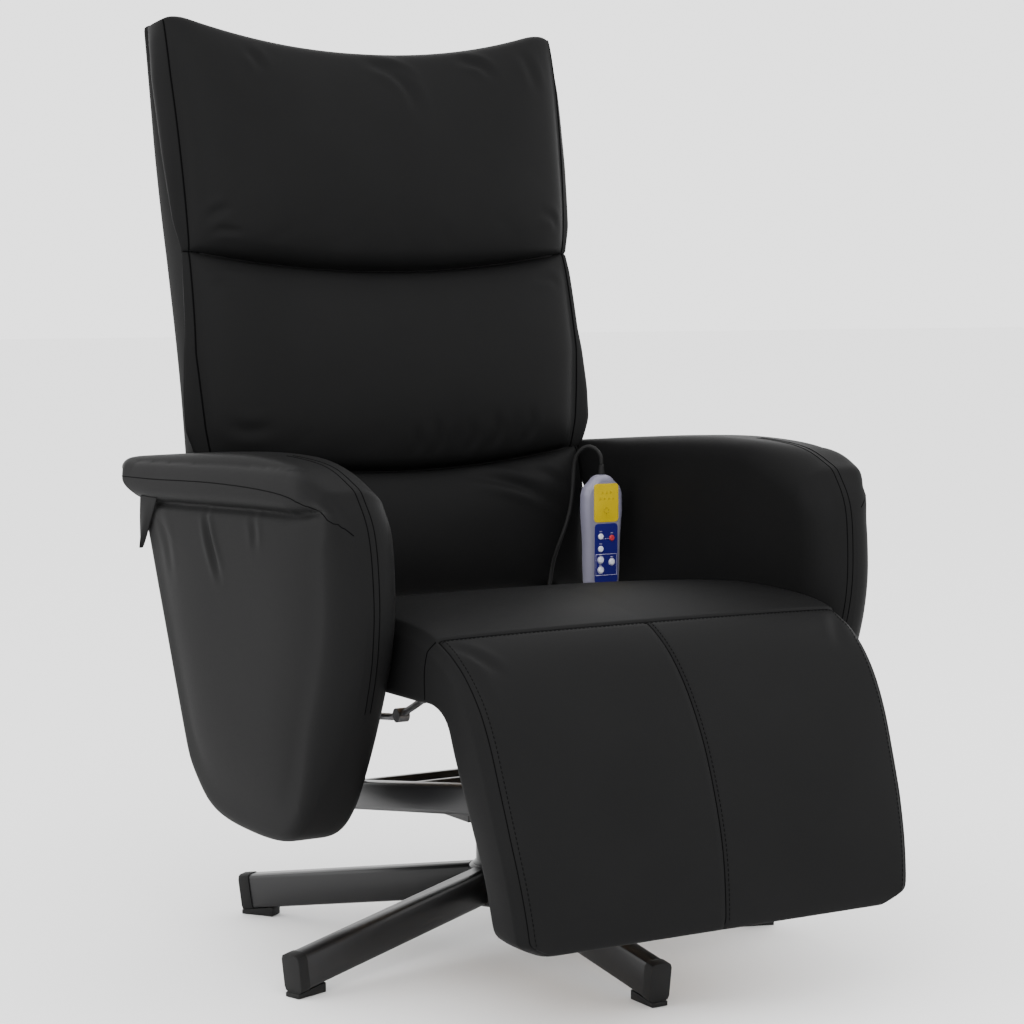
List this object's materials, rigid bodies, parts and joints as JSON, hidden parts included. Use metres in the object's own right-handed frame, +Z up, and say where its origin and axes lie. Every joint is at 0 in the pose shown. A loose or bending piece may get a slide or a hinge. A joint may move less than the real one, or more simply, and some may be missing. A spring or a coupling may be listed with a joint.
{
  "type": "massage chair",
  "caption": "Reclining massage chair in dark faux leather on a five-legged swivel base, with padded arms, a curved footrest, vibrating motors and a wired handset.",
  "frame": {"origin": "on the floor, at the middle of the chair's length and width", "axes": "+Z up, the chair faces -Y, +X is the sitter's left"},
  "size_m": [0.684, 0.8292, 1.0746],
  "materials": {
    "leather": "fine-grained satin faux leather",
    "powder_coat": "semi-gloss black powder coat",
    "black_plastic": "fine-textured moulded",
    "rubber": "matte moulded",
    "steel": "zinc-plated, satin",
    "plywood": "raw birch plywood",
    "handset_shell": "satin moulded",
    "display": "gloss printed label",
    "keypad": "gloss printed label",
    "white_key": "satin",
    "red_key": "satin"
  },
  "bodies": {
    "base": {"base_hub": "powder_coat", "base_leg_1": "powder_coat", "base_leg_2": "powder_coat", "base_leg_3": "powder_coat", "base_leg_4": "powder_coat", "base_leg_5": "powder_coat", "leg_cap_1": "rubber", "leg_cap_2": "rubber", "leg_cap_3": "rubber", "leg_cap_4": "rubber", "leg_cap_5": "rubber", "swivel_post": "powder_coat", "bearing_lower": "steel"},
    "seat": {"bearing_upper": "steel", "swivel_plate": "powder_coat", "rail_left": "powder_coat", "rail_right": "powder_coat", "cross_bar_front": "powder_coat", "cross_bar_rear": "powder_coat", "riser_left": "powder_coat", "riser_right": "powder_coat", "footrest_lug_left": "powder_coat", "footrest_lug_right": "powder_coat", "seat_board": "plywood", "seat_cushion": "leather", "seat_motor": "black_plastic", "arm_left": "leather", "arm_right": "leather", "control_box": "black_plastic", "power_socket": "black_plastic", "cord_outlet": "rubber", "handset_body": "handset_shell", "handset_display": "display", "handset_keypad": "keypad", "handset_cord": "rubber"},
    "backrest": {"back_board": "plywood", "back_shell": "leather", "lumbar_cushion": "leather", "middle_cushion": "leather", "head_cushion": "leather", "hinge_arm_left": "powder_coat", "hinge_arm_right": "powder_coat", "lumbar_motor": "black_plastic", "upper_motor": "black_plastic"},
    "footrest": {"footrest_cushion": "leather", "footrest_board": "plywood", "footrest_bracket_left": "powder_coat", "footrest_bracket_right": "powder_coat"},
    "drive_rods": {"drive_rod_left": "steel", "drive_rod_right": "steel"},
    "seat_weight": {"seat_motor_weight": "steel"},
    "lumbar_weight": {"lumbar_motor_weight": "steel"},
    "upper_weight": {"upper_motor_weight": "steel"},
    "key_power": {"key_power": "red_key"},
    "key_mode": {"key_mode": "white_key"},
    "key_speed": {"key_speed": "white_key"},
    "key_back": {"key_back": "white_key"},
    "key_seat": {"key_seat": "white_key"},
    "key_heat": {"key_heat": "white_key"}
  },
  "joints": [
    {"name": "seat_swivel", "type": "hinge", "parent": "base", "child": "seat", "pos_m": [0, 0.03888, 0.1636], "axis": [0, 0, 1], "continuous": true},
    {"name": "backrest_recline", "type": "hinge", "parent": "seat", "child": "backrest", "pos_m": [0, 0.24388, 0.36], "axis": [-1, 0, 0], "range_deg": [0, 35]},
    {"name": "footrest_lift", "type": "hinge", "parent": "seat", "child": "footrest", "pos_m": [0, -0.32112, 0.325], "axis": [-1, 0, 0], "range_deg": [0, 70]},
    {"name": "drive_rod_turn", "type": "hinge", "parent": "backrest", "child": "drive_rods", "pos_m": [0, 0.24388, 0.28], "axis": [1, 0, 0], "range_deg": [0, 38]},
    {"name": "seat_weight_spin", "type": "hinge", "parent": "seat", "child": "seat_weight", "pos_m": [0, -0.02112, 0.3335], "axis": [0, 0, 1], "continuous": true},
    {"name": "lumbar_weight_spin", "type": "hinge", "parent": "backrest", "child": "lumbar_weight", "pos_m": [0, 0.30785, 0.46672], "axis": [0, -0.989, 0.1478], "continuous": true},
    {"name": "upper_weight_spin", "type": "hinge", "parent": "backrest", "child": "upper_weight", "pos_m": [0, 0.33963, 0.67935], "axis": [0, -0.989, 0.1478], "continuous": true},
    {"name": "key_power_press", "type": "slide", "parent": "seat", "child": "key_power", "axis": [0, 1, 0], "range_m": [0, 0.0008], "stiffness_N_per_m": 600},
    {"name": "key_mode_press", "type": "slide", "parent": "seat", "child": "key_mode", "axis": [0, 1, 0], "range_m": [0, 0.0008], "stiffness_N_per_m": 600},
    {"name": "key_speed_press", "type": "slide", "parent": "seat", "child": "key_speed", "axis": [0, 1, 0], "range_m": [0, 0.0008], "stiffness_N_per_m": 600},
    {"name": "key_back_press", "type": "slide", "parent": "seat", "child": "key_back", "axis": [0, 1, 0], "range_m": [0, 0.0008], "stiffness_N_per_m": 600},
    {"name": "key_seat_press", "type": "slide", "parent": "seat", "child": "key_seat", "axis": [0, 1, 0], "range_m": [0, 0.0008], "stiffness_N_per_m": 600},
    {"name": "key_heat_press", "type": "slide", "parent": "seat", "child": "key_heat", "axis": [0, 1, 0], "range_m": [0, 0.0008], "stiffness_N_per_m": 600}
  ],
  "couplings": [
    {"joint": "footrest_lift", "follows": "backrest_recline", "ratio": 2},
    {"joint": "drive_rod_turn", "follows": "backrest_recline", "ratio": 1.0734}
  ]
}
